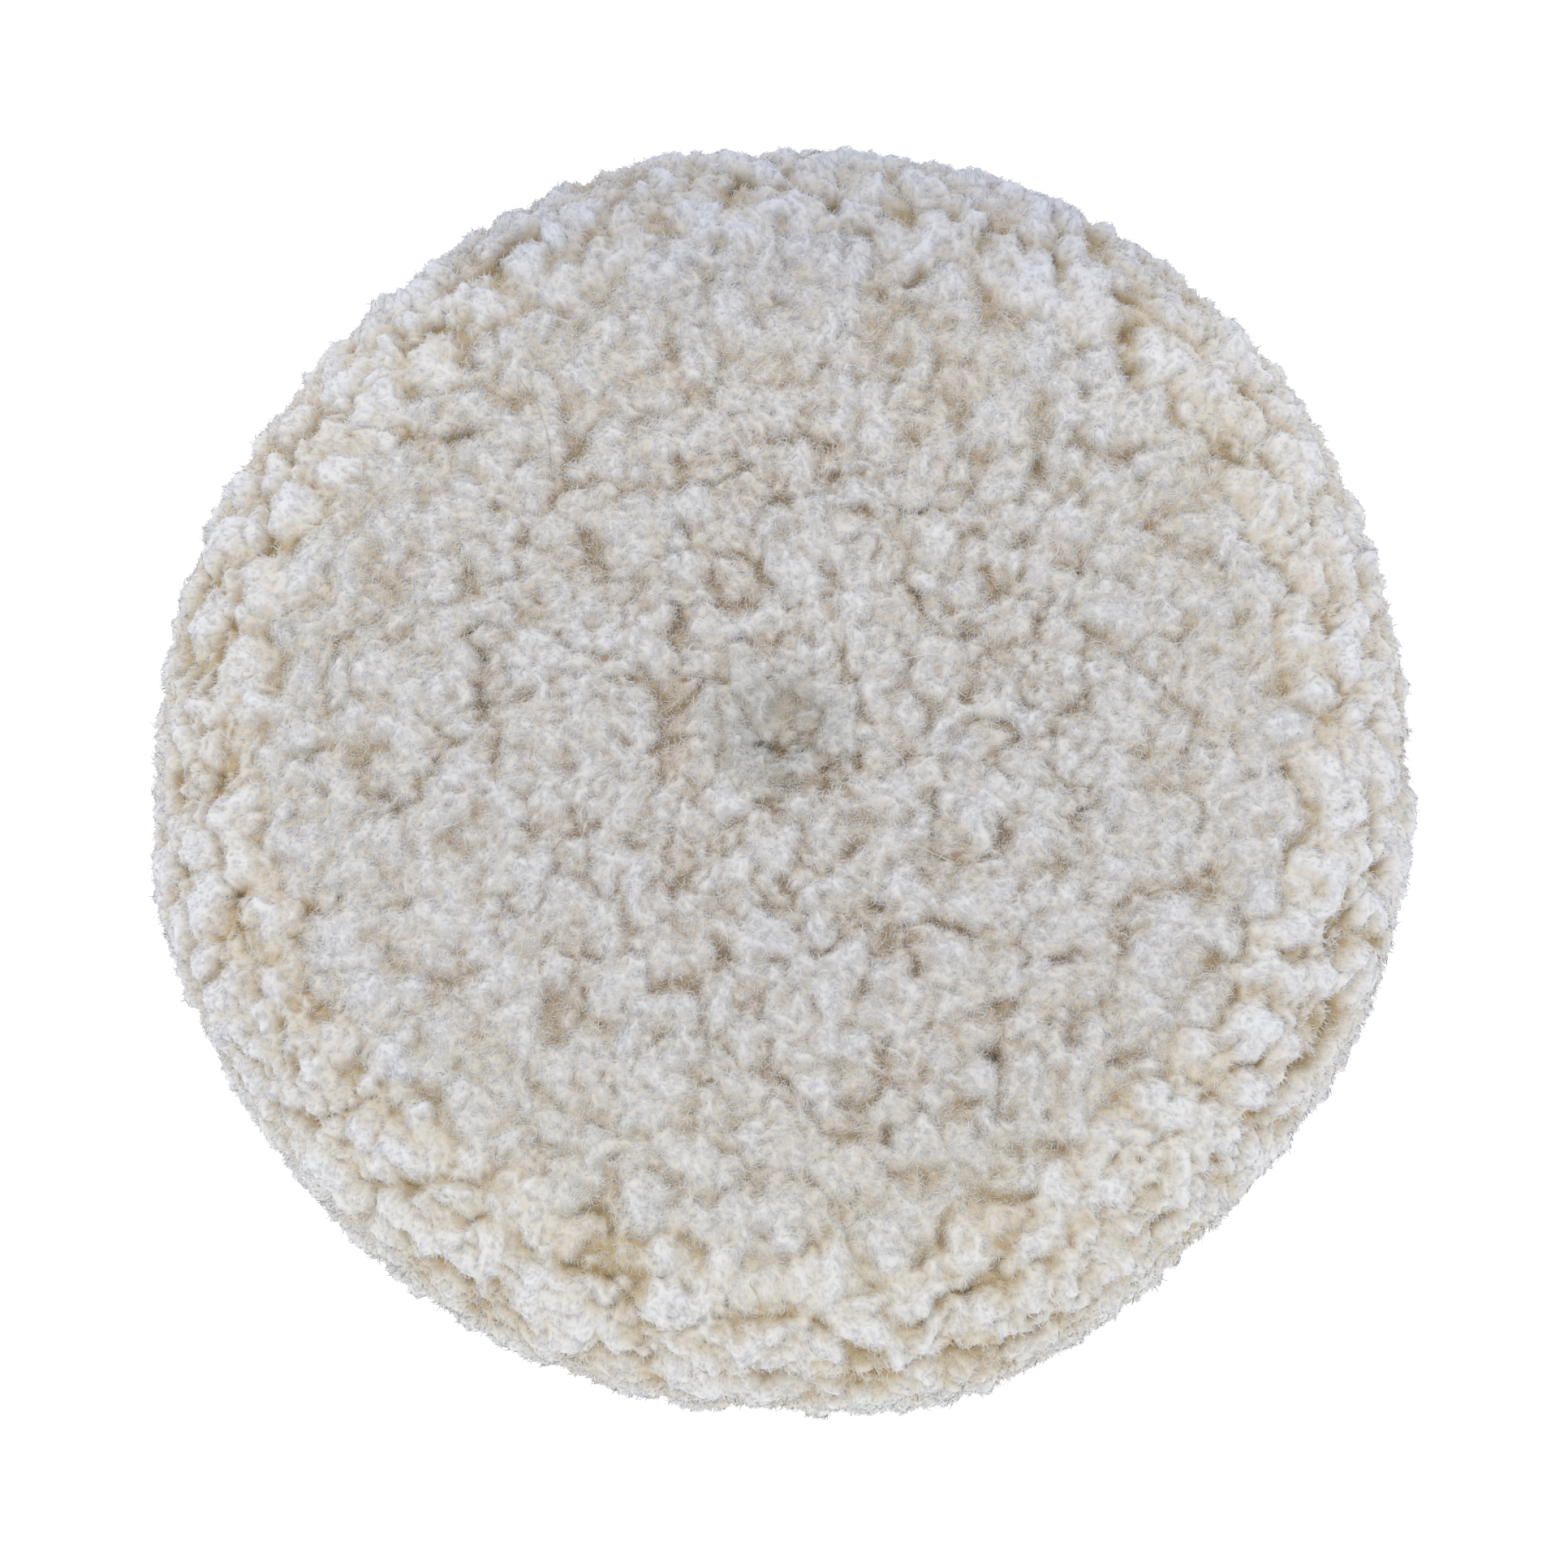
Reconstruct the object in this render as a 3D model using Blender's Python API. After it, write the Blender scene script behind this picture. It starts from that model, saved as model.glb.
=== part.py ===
"""A hook-and-loop wool polishing pad: rings of tufted wool yarn on a formed canvas, over a foam core.

Metres, +Z up. The origin is the centre of the loop face that grips the machine's backing plate,
and the wool faces +Z. Every piece is a ring about the Z axis, turned from its own cross-section.
"""

import math

import bmesh
import bpy

MM = 0.001
GAP = 0.3 * MM  # clearance between pieces that touch
SIDE_GAP = 0.2 * MM  # half the clearance between neighbouring rows

# Driving dimensions
PAD_RADIUS = 90 * MM  # over the wool
PAD_HEIGHT = 35 * MM  # loop face to wool tips
PILE_LENGTH = 20 * MM
HOLE_RADIUS = 8 * MM  # centring hole through the loop disc and the foam

CANVAS_RADIUS = 75 * MM
CANVAS_THICKNESS = 1 * MM
CANVAS_SHOULDER = 8 * MM  # radius of the formed edge
HEM_BEND = 2.5 * MM  # radius where the canvas turns under the core
HEM_INNER_RADIUS = 64 * MM
LATEX_THICKNESS = 0.8 * MM
LOOP_RADIUS = 71 * MM
LOOP_THICKNESS = 2.2 * MM

FACE_ROWS = 11  # tufted rows on the flat of the canvas
RIM_ROWS = 5  # tufted rows round its shoulder and side
WOOL_SHOULDER = 14 * MM  # radius of the wool's own rounded edge
WOOL_LOWER_BEND = 8 * MM
WOOL_LOWER_CENTRE = 10 * MM  # height of that bend's centre
DIMPLE_DEPTH = 3 * MM
DIMPLE_RADIUS = 10 * MM
FACE_TIP_SHARE = 0.61  # how much of the tip outline the face rows cover
ROW_CROWN = 1.2 * MM  # how far a row's rounded edges sit below its crown

STITCH_PITCH = 5 * MM
STITCH_WIDTH = 0.6 * MM
STITCH_DIP = 0.3 * MM  # how far the thread sinks at each needle hole
THREAD_SIDES = 4
CHANNEL_WIDTH = 2 * MM  # where a seam presses the loops flat
CHANNEL_DEPTH = 1.6 * MM
SEAM_HEIGHT = 0.7 * MM
HEM_SEAM_RADIUS = 67.5 * MM
HOLE_SEAM_RADIUS = 11.5 * MM

TURN_STEPS = 36
ARC_STEPS = 4

# Heights that follow from the layers
CANVAS_TOP = PAD_HEIGHT - PILE_LENGTH
HEM_BOTTOM = LOOP_THICKNESS + GAP
SHOULDER_HEIGHT = CANVAS_TOP - CANVAS_SHOULDER
SHOULDER_RADIUS = CANVAS_RADIUS - CANVAS_SHOULDER
HEM_BEND_RADIUS = CANVAS_RADIUS - HEM_BEND
HEM_BEND_HEIGHT = HEM_BOTTOM + HEM_BEND


def clear_scene():
    for obj in list(bpy.data.objects):
        bpy.data.objects.remove(obj)


def material(name, colour, roughness):
    """A plain non-metallic finish."""
    made = bpy.data.materials.new(name)
    made.use_nodes = True
    shader = made.node_tree.nodes["Principled BSDF"]
    shader.inputs["Base Color"].default_value = (*colour, 1)
    shader.inputs["Roughness"].default_value = roughness
    shader.inputs["Metallic"].default_value = 0
    return made


def arc(centre, radius, start_degrees, end_degrees, steps=ARC_STEPS):
    """Points of a circular arc in the (radius, height) plane."""
    points = []
    for i in range(steps + 1):
        angle = math.radians(start_degrees + (end_degrees - start_degrees) * i / steps)
        points.append((centre[0] + radius * math.cos(angle), centre[1] + radius * math.sin(angle)))
    return points


def signed_area(section):
    pairs = zip(section, section[1:] + section[:1])
    return sum(a[0] * b[1] - b[0] * a[1] for a, b in pairs) / 2


def turned_ring(name, section, finish):
    """A (radius, height) outline turned once about Z by a Screw modifier.

    The outline closes on itself, or starts and ends on the axis.
    """
    if signed_area(section) > 0:
        section = section[::-1]
    on_axis = section[0][0] == 0 and section[-1][0] == 0
    edge_count = len(section) - 1 if on_axis else len(section)
    edges = [(i, (i + 1) % len(section)) for i in range(edge_count)]
    mesh = bpy.data.meshes.new(name)
    mesh.from_pydata([(r, 0, z) for r, z in section], edges, [])
    mesh.materials.append(finish)
    ring = bpy.data.objects.new(name, mesh)
    bpy.context.scene.collection.objects.link(ring)
    turn = ring.modifiers.new("Turn", "SCREW")
    turn.axis = "Z"
    turn.angle = math.tau
    turn.steps = turn.render_steps = TURN_STEPS
    turn.use_merge_vertices = True
    turn.merge_threshold = 0.00001
    turn.use_smooth_shade = True
    return ring


def seam(name, radius, finish):
    """One lockstitch thread round the disc, showing as runs on the loops and dipping at each needle hole."""
    points = 2 * round(math.tau * radius / STITCH_PITCH)
    rings = []
    made = bmesh.new()
    for n in range(points):
        angle = math.tau * n / points
        height = SEAM_HEIGHT + (STITCH_DIP if n % 2 else 0)
        ring = []
        for k in range(THREAD_SIDES):
            turn = math.tau * k / THREAD_SIDES
            r = radius + STITCH_WIDTH / 2 * math.cos(turn)
            z = height + STITCH_WIDTH / 2 * math.sin(turn)
            ring.append(made.verts.new((r * math.cos(angle), r * math.sin(angle), z)))
        rings.append(ring)
    for n in range(points):
        near, far = rings[n - 1], rings[n]
        for k in range(THREAD_SIDES):
            made.faces.new((near[k - 1], near[k], far[k], far[k - 1]))
    bmesh.ops.recalc_face_normals(made, faces=made.faces)
    mesh = bpy.data.meshes.new(name)
    made.to_mesh(mesh)
    made.free()
    mesh.materials.append(finish)
    mesh.shade_smooth()
    thread = bpy.data.objects.new(name, mesh)
    bpy.context.scene.collection.objects.link(thread)
    return thread


def canvas_outline(offset):
    """The canvas's outer surface moved inwards by offset, from the centre to the hem's inner edge."""
    top = [(0, CANVAS_TOP - offset)]
    top += arc((SHOULDER_RADIUS, SHOULDER_HEIGHT), CANVAS_SHOULDER - offset, 90, 0)
    under = arc((HEM_BEND_RADIUS, HEM_BEND_HEIGHT), HEM_BEND - offset, 0, -90, 3)
    return top + under + [(HEM_INNER_RADIUS, HEM_BOTTOM + offset)]


def make_canvas(finish):
    outer = canvas_outline(0)
    inner = canvas_outline(CANVAS_THICKNESS)
    return turned_ring("backing_canvas", outer + inner[::-1], finish)


def make_latex(finish):
    """The rubber coat that locks the tufts, inside the canvas as far as its side."""
    centre = (SHOULDER_RADIUS, SHOULDER_HEIGHT)
    outer_offset = CANVAS_THICKNESS + GAP
    inner_offset = outer_offset + LATEX_THICKNESS
    outline = [(0, CANVAS_TOP - outer_offset)] + arc(centre, CANVAS_SHOULDER - outer_offset, 90, 0)
    outline += arc(centre, CANVAS_SHOULDER - inner_offset, 0, 90) + [(0, CANVAS_TOP - inner_offset)]
    return turned_ring("latex_backcoat", outline, finish)


def make_foam(finish):
    bottom = HEM_BOTTOM + CANVAS_THICKNESS + GAP
    inset = CANVAS_THICKNESS + LATEX_THICKNESS + 2 * GAP
    radius = CANVAS_RADIUS - inset
    chamfer = HEM_BEND_HEIGHT - bottom
    section = [(HOLE_RADIUS, bottom), (radius - chamfer, bottom), (radius, HEM_BEND_HEIGHT)]
    section += arc((SHOULDER_RADIUS, SHOULDER_HEIGHT), CANVAS_SHOULDER - inset, 0, 90)
    section += [(HOLE_RADIUS, CANVAS_TOP - inset)]
    return turned_ring("foam_cushion", section, finish)


def make_bond_film(finish):
    inner, outer = HOLE_RADIUS, HEM_INNER_RADIUS - GAP
    bottom, top = HEM_BOTTOM, HEM_BOTTOM + CANVAS_THICKNESS
    section = [(inner, bottom), (outer, bottom), (outer, top), (inner, top)]
    return turned_ring("bond_film", section, finish)


def make_loop_disc(finish):
    """The napped loop fabric, with a pressed channel under each seam."""
    section = [(HOLE_RADIUS, LOOP_THICKNESS), (HOLE_RADIUS, 0)]
    for radius in (HOLE_SEAM_RADIUS, HEM_SEAM_RADIUS):
        inner, outer = radius - CHANNEL_WIDTH / 2, radius + CHANNEL_WIDTH / 2
        section += [(inner, 0), (inner, CHANNEL_DEPTH), (outer, CHANNEL_DEPTH), (outer, 0)]
    section += [(LOOP_RADIUS, 0), (LOOP_RADIUS, LOOP_THICKNESS)]
    return turned_ring("loop_disc", section, finish)


def along(path, distance):
    """The point and the outward normal at a distance along a path made of line and bend pieces."""
    for piece in path:
        length = piece["length"]
        if distance <= length or piece is path[-1]:
            return piece["at"](distance)
        distance -= length
    return None


def line_piece(start, end):
    length = math.dist(start, end)
    step = ((end[0] - start[0]) / length, (end[1] - start[1]) / length)

    def at(distance):
        point = (start[0] + step[0] * distance, start[1] + step[1] * distance)
        return point, (-step[1], step[0])

    return {"length": length, "at": at}


def bend_piece(centre, radius, start_degrees, sweep_degrees):
    """A clockwise bend, as the outline turns from its face down its side."""

    def at(distance):
        angle = math.radians(start_degrees) - distance / radius
        normal = (math.cos(angle), math.sin(angle))
        return (centre[0] + radius * normal[0], centre[1] + radius * normal[1]), normal

    return {"length": radius * math.radians(sweep_degrees), "at": at}


def root_path():
    """Where the tufts stand: the canvas's outer surface."""
    return [
        line_piece((0, CANVAS_TOP), (SHOULDER_RADIUS, CANVAS_TOP)),
        bend_piece((SHOULDER_RADIUS, SHOULDER_HEIGHT), CANVAS_SHOULDER, 90, 90),
        line_piece((CANVAS_RADIUS, SHOULDER_HEIGHT), (CANVAS_RADIUS, HEM_BEND_HEIGHT)),
        bend_piece((HEM_BEND_RADIUS, HEM_BEND_HEIGHT), HEM_BEND, 0, 45),
    ]


def tip_path():
    """The outline that the wool's tips make: face, rounded edge, side and lower edge."""
    shoulder = (PAD_RADIUS - WOOL_SHOULDER, PAD_HEIGHT - WOOL_SHOULDER)
    lower = (PAD_RADIUS - WOOL_LOWER_BEND, WOOL_LOWER_CENTRE)
    return [
        line_piece((0, PAD_HEIGHT), (shoulder[0], PAD_HEIGHT)),
        bend_piece(shoulder, WOOL_SHOULDER, 90, 90),
        line_piece((PAD_RADIUS, shoulder[1]), (PAD_RADIUS, lower[1])),
        bend_piece(lower, WOOL_LOWER_BEND, 0, 60),
    ]


def row_bounds():
    """Distances along the root path and the tip path at which one row ends and the next begins."""
    roots, tips = root_path(), tip_path()
    root_length = sum(piece["length"] for piece in roots)
    tip_length = sum(piece["length"] for piece in tips)
    face_root = roots[0]["length"]
    face_tip = FACE_TIP_SHARE * tip_length
    bounds = [(face_root * k / FACE_ROWS, face_tip * k / FACE_ROWS) for k in range(FACE_ROWS)]
    for k in range(RIM_ROWS + 1):
        share = k / RIM_ROWS
        root = face_root + (root_length - face_root) * share
        bounds.append((root, face_tip + (tip_length - face_tip) * share))
    return bounds


def dimpled(point):
    """Lowers the face near its centre, where the wool sinks over the hole."""
    radius, height = point
    depth = DIMPLE_DEPTH * max(0, 1 - radius / DIMPLE_RADIUS)
    return radius, height - depth


def row_section(start, end):
    """One row's cross-section, between two (root, tip) bounds."""
    roots, tips = root_path(), tip_path()
    section = []
    for inset, distance in ((SIDE_GAP, start[0]), (-SIDE_GAP, end[0])):
        (r, z), normal = along(roots, distance + inset)
        section.append((r + normal[0] * GAP, z + normal[1] * GAP))
    for share, drop in ((1, ROW_CROWN), (0.7, 0), (0.3, 0), (0, ROW_CROWN)):
        inset = SIDE_GAP * (1 - 2 * share)
        (r, z), normal = along(tips, start[1] + (end[1] - start[1]) * share + inset)
        section.append(dimpled((r - normal[0] * drop, z - normal[1] * drop)))
    return section


def make_rows(finish):
    bounds = row_bounds()
    for k, (start, end) in enumerate(zip(bounds, bounds[1:]), 1):
        section = row_section(start, end)
        if k == 1:
            section = [(0, CANVAS_TOP + GAP), section[1], *section[2:-1], dimpled((0, PAD_HEIGHT))]
        turned_ring(f"pile_row_{k:02d}", section, finish)


def main():
    clear_scene()
    wool = material("wool_pile", (0.83, 0.79, 0.71), 0.95)
    canvas = material("canvas", (0.72, 0.66, 0.54), 0.9)
    latex = material("latex", (0.78, 0.72, 0.58), 0.6)
    foam = material("foam", (0.25, 0.25, 0.26), 0.85)
    film = material("bond_film", (0.80, 0.79, 0.75), 0.4)
    loop = material("loop_fabric", (0.86, 0.86, 0.84), 0.9)
    thread = material("stitch_thread", (0.90, 0.89, 0.85), 0.7)

    make_loop_disc(loop)
    make_bond_film(film)
    make_foam(foam)
    make_latex(latex)
    make_canvas(canvas)
    seam("hem_stitching", HEM_SEAM_RADIUS, thread)
    seam("hole_stitching", HOLE_SEAM_RADIUS, thread)
    make_rows(wool)


main()
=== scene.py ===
import itertools
import math

import bpy
import numpy as np
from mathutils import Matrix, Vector


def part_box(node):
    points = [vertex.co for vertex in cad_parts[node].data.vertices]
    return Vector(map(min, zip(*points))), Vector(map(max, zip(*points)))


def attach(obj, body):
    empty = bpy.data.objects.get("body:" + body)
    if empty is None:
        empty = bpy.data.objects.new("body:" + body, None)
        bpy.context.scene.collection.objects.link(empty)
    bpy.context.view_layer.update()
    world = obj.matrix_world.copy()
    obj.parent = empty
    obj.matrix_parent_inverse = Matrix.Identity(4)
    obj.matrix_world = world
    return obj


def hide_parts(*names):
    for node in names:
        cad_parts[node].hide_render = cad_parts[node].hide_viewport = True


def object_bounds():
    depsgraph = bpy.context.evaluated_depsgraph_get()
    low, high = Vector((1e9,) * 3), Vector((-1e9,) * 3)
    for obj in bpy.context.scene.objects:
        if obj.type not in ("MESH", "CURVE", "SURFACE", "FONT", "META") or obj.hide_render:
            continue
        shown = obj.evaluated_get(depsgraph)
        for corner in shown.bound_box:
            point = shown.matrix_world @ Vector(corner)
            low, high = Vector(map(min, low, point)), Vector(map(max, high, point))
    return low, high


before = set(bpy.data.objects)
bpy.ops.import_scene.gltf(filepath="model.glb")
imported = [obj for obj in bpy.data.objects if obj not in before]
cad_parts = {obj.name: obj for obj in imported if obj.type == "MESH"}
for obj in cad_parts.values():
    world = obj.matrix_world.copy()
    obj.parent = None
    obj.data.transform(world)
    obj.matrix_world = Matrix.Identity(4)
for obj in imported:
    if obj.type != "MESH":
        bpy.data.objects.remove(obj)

# A tufted wool polishing pad: rings of cut pile over a canvas cup, a foam core and a loop face.
# Lengths are in millimetres until a mesh is made.
MM = 0.001
CAD_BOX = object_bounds()
PAD_RADIUS = CAD_BOX[1][0] / MM
PAD_HEIGHT = CAD_BOX[1][2] / MM
ROWS = sum(name.startswith("pile_row_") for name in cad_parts)
RIM_ROWS = 5
FACE_ROWS = ROWS - RIM_ROWS

# The wool's outline, as in the CAD
WOOL_SHOULDER = 14
LOWER_BEND = 8
LOWER_CENTRE = 10
FACE_TIP_SHARE = 0.61
UNDERSIDE_INNER = 75.5
ROOT_GAP = 0.3
ROW_LAP = 0.08  # how far neighbouring rows' surfaces run into each other
BORDER_REACH = 2.4  # how far a border between rows may wander
BORDER_STEP = 0.3
RIM_BORDER = 0.14  # how far the pile parts between rows, as a share of its relief
FACE_BORDER = 0.05
INNER_STEPS = 7  # points across the last row's side towards the canvas
LIP_DEPTH = 1.5  # how far a row's side goes straight in before it turns to its root

# The canvas that the yarn stands on
CANVAS_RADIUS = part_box("backing_canvas")[1][0] / MM
CANVAS_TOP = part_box("backing_canvas")[1][2] / MM
CANVAS_THICKNESS = 1
CANVAS_SHOULDER = 8
HEM_BEND = 2.5
HEM_INNER = 64
GATHERS = 110  # folds that take up the hem's fullness
GATHER_DEPTH = 0.14
LATEX_THICKNESS = 0.8
HEM_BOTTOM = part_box("backing_canvas")[0][2] / MM

# The loop face and its seams
HOLE_RADIUS = 8
KNIT_HEIGHT = 1.05  # where the loops leave their ground cloth
LOOP_EDGE_GAP = 0.1
LOOPS_PER_MM2 = 1.8
LOOP_BATCHES = 3
LOOP_WIDTHS = (0.5, 1.1)
LOOP_DROPS = (0.65, 0.98)
LOOP_THICKNESSES = (0.045, 0.075)
CHANNEL_DEPTH = 0.5
STITCH_WIDTH = 0.6
STITCH_PITCH = 5
STITCH_POINTS = 18  # round the pad, in one stitch
PLIES = 3
PLY_TWIST = 1.6
PLY_SIDES = 6
PLY_RADIUS = 0.16
PLY_OFFSET = 0.15

GRID = 0.38  # spacing of the pile surface's points
MAX_TRIANGLES = 195_000  # in one piece
BODY_PAINTED_SHADE = 0.2  # how much deeper in shade the mass under the fibres is painted than the fibres on it: painted shade
FIBRES_PER_MM2 = 5.6
FIBRE_SHARES = (0, 0.5, 1)  # where along a fibre its points lie
FIBRE_SIDES = 3
FIBRE_LENGTHS = (0.5, 1.8)
FIBRE_RISES = (0.15, 0.6)  # how high a fibre arches
FIBRE_TAILS = (-0.2, 0.5)  # how high its tip ends
FIBRE_TURN = 0.7
FIBRE_THICKNESSES = (0.035, 0.075)
FIBRE_SOFTNESS = 0.65  # how far a fibre is lit like the pile around it
RIM_THINNING = 0.25  # how many fewer fibres the rim has
RIM_COMB = 1.6  # how strongly the rim's fibres run from the face towards the hem
HAIR_RADIUS = 0.05
HAIR_LIFT = 0.9

# Where the pile parts: (x, y, reach, depth)
PITS = (
    (-56, -8, 2.4, 2.6),
    (-60, -5, 1.8, 2.2),
    (-53, -11, 1.6, 2.0),
    (9, -54, 2.4, 2.2),
    (14, -56, 1.6, 1.8),
    (29, -46, 1.8, 2.4),
    (40, -43, 2.2, 2.2),
    (47, 58, 2.0, 2.8),
    (50, 52, 1.8, 2.4),
    (36, 37, 2.0, 2.2),
    (32, 38, 1.5, 1.8),
    (0, 85, 2.0, 1.8),
    (-46, 43, 1.6, 2.0),
    (-45, 55, 1.6, 1.8),
    (-66, -30, 1.8, 2.4),
    (-74, -24, 1.8, 1.8),
    (-31, -38, 1.6, 1.8),
    (10, -12, 2.0, 1.4),
    (63, 42, 1.8, 1.8),
)

# The crease beside the middle: (x, y) of its ends and its reach and depth
CREASE = ((-42, 15), (-43, 1), 1.7, 1.3)

# Loose hairs: (x, y, heading in degrees, length, darkness)
STRAY_HAIRS = (
    (-38, 53, 300, 17, 1.6),
    (-41, 72, 200, 9, 1.5),
    (-22, 62, 350, 7, 1.4),
    (50, -43, 60, 6, 1.6),
    (-3, -80, 80, 5, 1.6),
    (-20, 24, 60, 20, -0.5),
    (14, 9, 20, 12, -0.5),
    (25, -20, 150, 14, -0.5),
    (-35, -22, 280, 13, -0.5),
    (30, 30, 110, 15, -0.5),
    (-10, -40, 200, 12, -0.5),
    (55, 10, 70, 12, -0.5),
)

# Where the outline stands out or in: (degrees round the pad, degrees wide, mm)
OUTLINE = (
    (45, 30, 1.6),
    (104, 12, 0.8),
    (135, 14, -1.8),
    (195, 14, 0.6),
    (232, 16, -1.0),
    (287, 11, 1.5),
    (315, 13, -1.6),
)
OVAL = 2.8  # how much further the pile stands towards +Y and -Y


# ---------------------------------------------------------------- repeatable noise

def lattice(ix, iy, iz, seed):
    """A repeatable random number from 0 to 1 for each lattice point."""
    mixed = (ix * 374761393 + iy * 668265263 + iz * 1440662683 + seed * 1274126177) & 0xFFFFFFFF
    mixed = ((mixed ^ (mixed >> 13)) * 1274126177) & 0xFFFFFFFF
    mixed = ((mixed ^ (mixed >> 16)) * 668265263) & 0xFFFFFFFF
    return (mixed ^ (mixed >> 15)) / 0xFFFFFFFF


def noise(points, size, seed):
    """Smooth noise from 0 to 1 whose lumps are about size across."""
    scaled = points / size
    corner = np.floor(scaled).astype(np.int64)
    part = scaled - corner
    part = part * part * (3 - 2 * part)
    total = np.zeros(len(points))
    for step in itertools.product((0, 1), repeat=3):
        weight = np.ones(len(points))
        for axis in range(3):
            weight *= part[:, axis] if step[axis] else 1 - part[:, axis]
        total += weight * lattice(*(corner + step).T, seed)
    return total


def cells(points, size, seed):
    """Distances to the nearest and next nearest of some jittered points, and the nearest one's number."""
    scaled = points / size
    corner = np.floor(scaled).astype(np.int64)
    nearest = np.full(len(points), 9.0)
    second = np.full(len(points), 9.0)
    tag = np.zeros(len(points))
    for step in itertools.product((-1, 0, 1), repeat=3):
        cell = (corner + step).T
        away = np.zeros(len(points))
        for axis in range(3):
            away += (cell[axis] + lattice(*cell, seed + axis) - scaled[:, axis]) ** 2
        away = np.sqrt(away)
        closer = away < nearest
        second = np.where(closer, nearest, np.minimum(second, away))
        tag = np.where(closer, lattice(*cell, seed + 3), tag)
        nearest = np.minimum(nearest, away)
    return nearest * size, second * size, tag


def smooth(value, low, high):
    share = np.clip((value - low) / (high - low), 0, 1)
    return share * share * (3 - 2 * share)


# ---------------------------------------------------------------- outlines

def follow(distance, pieces):
    """(radius, height, normal's radius, normal's height) at distances along a run of lines and bends."""
    out = np.zeros((len(distance), 4))
    start = 0
    for n, (kind, length, centre, radius, angle) in enumerate(pieces):
        last = n == len(pieces) - 1
        here = distance >= start if n else np.full(len(distance), True)
        if not last:
            here &= distance < start + length
        along = distance[here] - start
        if kind == "line":
            normal = np.tile((math.cos(angle), math.sin(angle)), (len(along), 1))
            step = np.stack((normal[:, 1], -normal[:, 0]), 1)
            place = np.array(centre) + step * along[:, None]
        else:
            turned = angle - along / radius
            normal = np.stack((np.cos(turned), np.sin(turned)), 1)
            place = np.array(centre) + normal * radius
        out[here, :2] = place
        out[here, 2:] = normal
        start += length
    return out


def run_length(pieces):
    return sum(piece[1] for piece in pieces)


RIGHT = 0
UP = math.pi / 2
SIDE_TOP = PAD_HEIGHT - WOOL_SHOULDER
LOWER_RADIUS = PAD_RADIUS - LOWER_BEND
TIPS = [
    ("line", PAD_RADIUS - WOOL_SHOULDER, (0, PAD_HEIGHT), 0, UP),
    ("bend", WOOL_SHOULDER * UP, (PAD_RADIUS - WOOL_SHOULDER, SIDE_TOP), WOOL_SHOULDER, UP),
    ("line", SIDE_TOP - LOWER_CENTRE, (PAD_RADIUS, SIDE_TOP), 0, RIGHT),
    ("bend", LOWER_BEND * UP, (LOWER_RADIUS, LOWER_CENTRE), LOWER_BEND, RIGHT),
    ("line", LOWER_RADIUS - UNDERSIDE_INNER, (LOWER_RADIUS, LOWER_CENTRE - LOWER_BEND), 0, -UP),
]
TIPS_END = run_length(TIPS[:3]) + LOWER_BEND * math.pi / 3

FLAT = CANVAS_RADIUS - CANVAS_SHOULDER
HEM_HEIGHT = HEM_BOTTOM + HEM_BEND
CANVAS_SIDE = CANVAS_TOP - CANVAS_SHOULDER - HEM_HEIGHT
ROOTS = [
    ("line", FLAT, (0, CANVAS_TOP), 0, UP),
    ("bend", CANVAS_SHOULDER * UP, (FLAT, CANVAS_TOP - CANVAS_SHOULDER), CANVAS_SHOULDER, UP),
    ("line", CANVAS_SIDE, (CANVAS_RADIUS, CANVAS_TOP - CANVAS_SHOULDER), 0, RIGHT),
    ("bend", HEM_BEND * math.pi / 4, (CANVAS_RADIUS - HEM_BEND, HEM_HEIGHT), HEM_BEND, RIGHT),
]


def row_bounds():
    """(root distance, tip distance) between neighbouring rows."""
    root_end, face_tip = run_length(ROOTS), FACE_TIP_SHARE * TIPS_END
    bounds = [(FLAT * k / FACE_ROWS, face_tip * k / FACE_ROWS) for k in range(FACE_ROWS)]
    for k in range(RIM_ROWS + 1):
        share = k / RIM_ROWS
        bounds.append((FLAT + (root_end - FLAT) * share, face_tip + (TIPS_END - face_tip) * share))
    bounds[-1] = (root_end, run_length(TIPS))
    return bounds


BOUNDS = row_bounds()


def around(angles, profile):
    """Points and normals in space for profile points at those angles."""
    turn = np.stack((np.cos(angles), np.sin(angles)), 1)
    points = np.column_stack((turn * profile[:, :1], profile[:, 1]))
    normals = np.column_stack((turn * profile[:, 2:3], profile[:, 3]))
    return points, normals


# ---------------------------------------------------------------- the pile's surface

def nodules(points, size, seed):
    """Packed round tuft ends of about that size: 1 on their crowns, 0 in the crevices."""
    near, second, tag = cells(points, size, seed)
    reach = (0.72 + 0.24 * tag) * size
    dome = np.clip(1 - (near / reach) ** 2, 0, 1) ** 0.8
    lift = (tag - 0.5) * smooth(second - near, 0, 0.5 * size)
    return dome + 0.5 * lift


def wandering(points, size, seed):
    return np.stack([noise(points, size, seed + n) for n in range(3)], 1) - 0.5


def lumps(points, size, seed):
    """Cloudy lumps about that size: broad crowns at 1, narrow crevices at 0."""
    value = 0.5 * noise(points, size, seed)
    value += 0.3 * noise(points, 0.55 * size, seed + 1)
    value += 0.2 * noise(points, 0.3 * size, seed + 2)
    return smooth(value, 0.34, 0.62)


def pile_height(points, distance):
    """How far the pile's surface stands from its deepest crevices, from 0 to about 1."""
    rim = smooth(distance, 35, 90)
    moved = points + 1.4 * wandering(points, 1.5, 20) + 3.0 * wandering(points, 6, 30)
    face = 0.45 * nodules(moved, 4.4, 44) + 0.25 * nodules(moved, 2.3, 48) + 0.3 * lumps(moved, 2.8, 40)
    edge = 0.48 * nodules(moved, 6.0, 54) + 0.2 * nodules(moved, 2.8, 58) + 0.37 * lumps(moved, 3.2, 50)
    return face * (1 - rim) + edge * rim


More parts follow.
